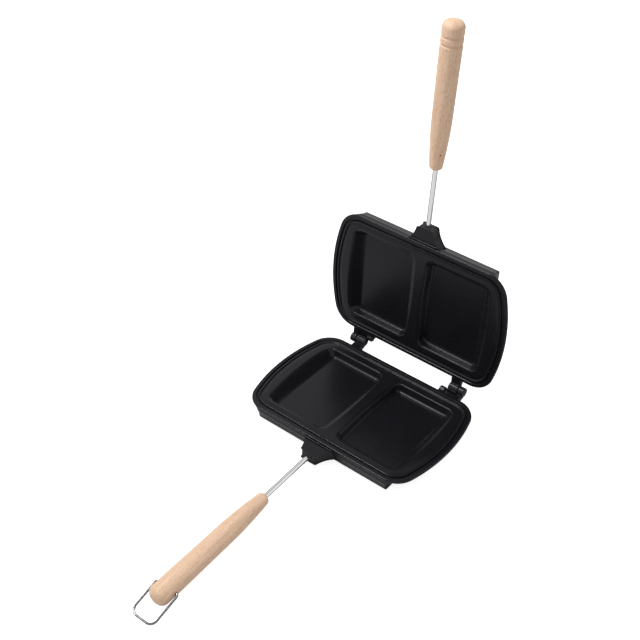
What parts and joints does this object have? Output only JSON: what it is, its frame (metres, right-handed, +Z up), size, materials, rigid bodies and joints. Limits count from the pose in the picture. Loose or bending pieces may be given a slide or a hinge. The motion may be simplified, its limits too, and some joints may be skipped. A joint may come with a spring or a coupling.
{
  "type": "pie iron",
  "caption": "Hinged double sandwich iron with two ribbed pans, steel rods, turned wooden handles and a wire latch.",
  "frame": {"origin": "on the table, in the middle of the bounding box of the open iron as it stands in the picture", "axes": "+X along the hinge to the right as seen from the lower handle, +Y from the lower handle to the hinge, +Z up from the table"},
  "size_m": [0.25, 0.5208, 0.4679],
  "materials": {
    "coating": "cast aluminium under a satin black non-stick coating",
    "rod_steel": "bright plated steel rod",
    "beech": "smooth turned beech, clear matt varnish",
    "pin_steel": "plain drawn steel",
    "wire_steel": "bright plated steel wire"
  },
  "bodies": {
    "lower": {"lower_pan": "coating", "lower_rod": "rod_steel", "lower_handle": "beech", "lower_handle_pin": "pin_steel", "lower_rod_pin": "pin_steel", "hinge_pin_right": "pin_steel"},
    "upper": {"upper_pan": "coating", "upper_rod": "rod_steel", "upper_handle": "beech", "upper_handle_pin": "pin_steel", "upper_rod_pin": "pin_steel", "hinge_pin_left": "pin_steel"},
    "bail": {"bail": "wire_steel"}
  },
  "joints": [
    {"name": "pan_hinge", "type": "hinge", "parent": "lower", "child": "upper", "pos_m": [0, 0.21008, 0.0197], "axis": [1, 0, 0], "range_deg": [0, 92.1]},
    {"name": "bail_swing", "type": "hinge", "parent": "lower", "child": "bail", "pos_m": [0, -0.21979, 0.01254], "axis": [-1, 0, 0], "range_deg": [-145.5, 176]}
  ]
}
